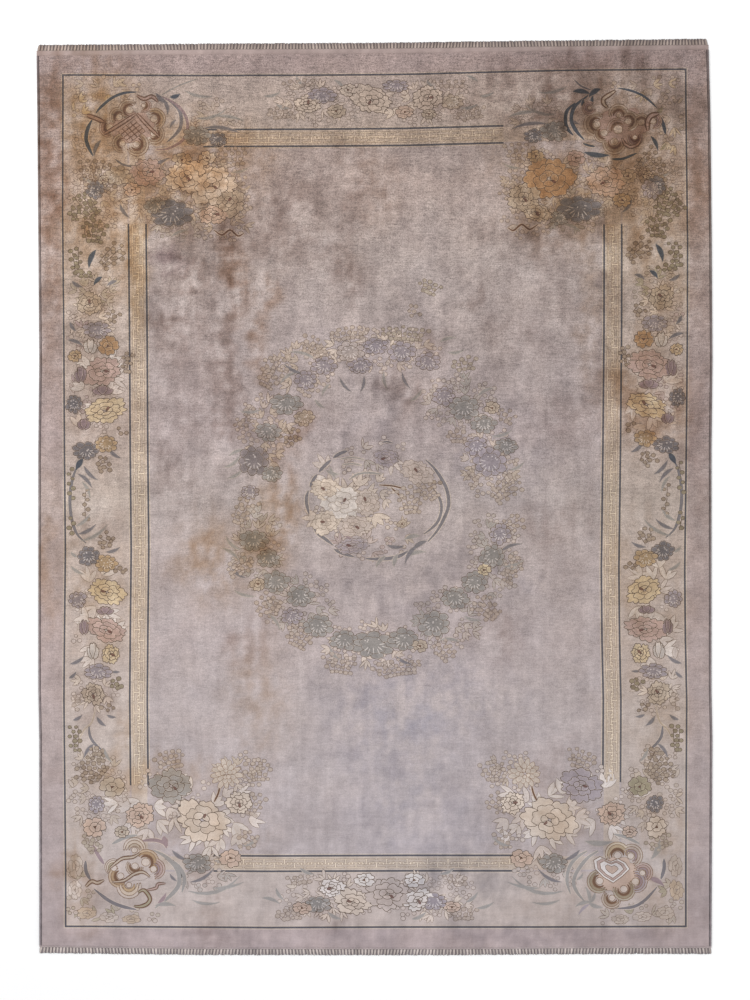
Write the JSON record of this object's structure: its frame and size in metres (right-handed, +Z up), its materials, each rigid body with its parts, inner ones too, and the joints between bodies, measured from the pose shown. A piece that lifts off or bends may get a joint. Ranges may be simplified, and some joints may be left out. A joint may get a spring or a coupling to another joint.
{
  "type": "silk rug",
  "caption": "Large rectangular silk rug with a low sculpted pile, a floral medallion and border, overcast sides and short knotted fringe at both ends.",
  "frame": {"origin": "middle of the rug's box, on the floor that the rug lies on", "axes": "+Y along the rug's length, towards the top end of the picture; +X across its width, to the picture's right; +Z up, out of the pile"},
  "size_m": [2.7526, 3.7334, 0.009],
  "materials": {
    "pile": "soft silk pile with a sheen, faded, with soft brown stains",
    "overcasting": "wrapped silk yarn, matt",
    "fringe": "undyed knotted warp ends, matt"
  },
  "bodies": {
    "root": {"rug_body": "pile", "selvedge_left": "overcasting", "selvedge_right": "overcasting", "fringe_top": "fringe", "fringe_bottom": "fringe"}
  },
  "joints": []
}
